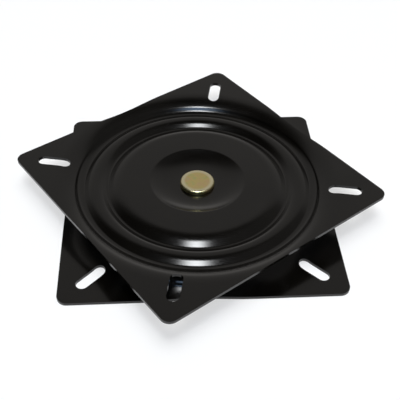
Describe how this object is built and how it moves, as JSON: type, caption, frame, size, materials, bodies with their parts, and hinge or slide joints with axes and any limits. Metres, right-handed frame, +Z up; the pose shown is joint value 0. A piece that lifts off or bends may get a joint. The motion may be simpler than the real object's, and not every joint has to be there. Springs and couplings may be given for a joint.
{
  "type": "tv swivel plate",
  "caption": "Square ball-bearing swivel: two pressed black plates with radial slots, a caged ball race between them and a centre rivet, that lets a TV turn on its stand.",
  "frame": {"origin": "on the swivel axis, in the plane that the lower plate's four corners stand on", "axes": "+Z up the swivel axis, X and Y along the lower plate's two diagonals"},
  "size_m": [0.2492, 0.2492, 0.0225],
  "materials": {
    "black_paint": "gloss black paint on pressed steel",
    "yellow_zinc": "yellow chromated zinc plate",
    "zinc": "clear zinc plate",
    "nylon": "natural moulded nylon",
    "ball_steel": "polished bearing steel"
  },
  "bodies": {
    "lower": {"lower_plate": "black_paint", "centre_rivet": "yellow_zinc", "tail_washer": "zinc"},
    "upper": {"upper_plate": "black_paint"},
    "cage": {"ball_cage": "nylon", "ball_01": "ball_steel", "ball_02": "ball_steel", "ball_03": "ball_steel", "ball_04": "ball_steel", "ball_05": "ball_steel", "ball_06": "ball_steel", "ball_07": "ball_steel", "ball_08": "ball_steel", "ball_09": "ball_steel", "ball_10": "ball_steel", "ball_11": "ball_steel", "ball_12": "ball_steel", "ball_13": "ball_steel", "ball_14": "ball_steel", "ball_15": "ball_steel", "ball_16": "ball_steel"}
  },
  "joints": [
    {"name": "swivel", "type": "hinge", "parent": "lower", "child": "upper", "pos_m": [0, 0, 0.01126], "axis": [0, 0, 1], "continuous": true},
    {"name": "cage_roll", "type": "hinge", "parent": "lower", "child": "cage", "pos_m": [0, 0, 0.01126], "axis": [0, 0, 1], "continuous": true}
  ],
  "couplings": [
    {"joint": "cage_roll", "follows": "swivel", "ratio": 0.5}
  ]
}
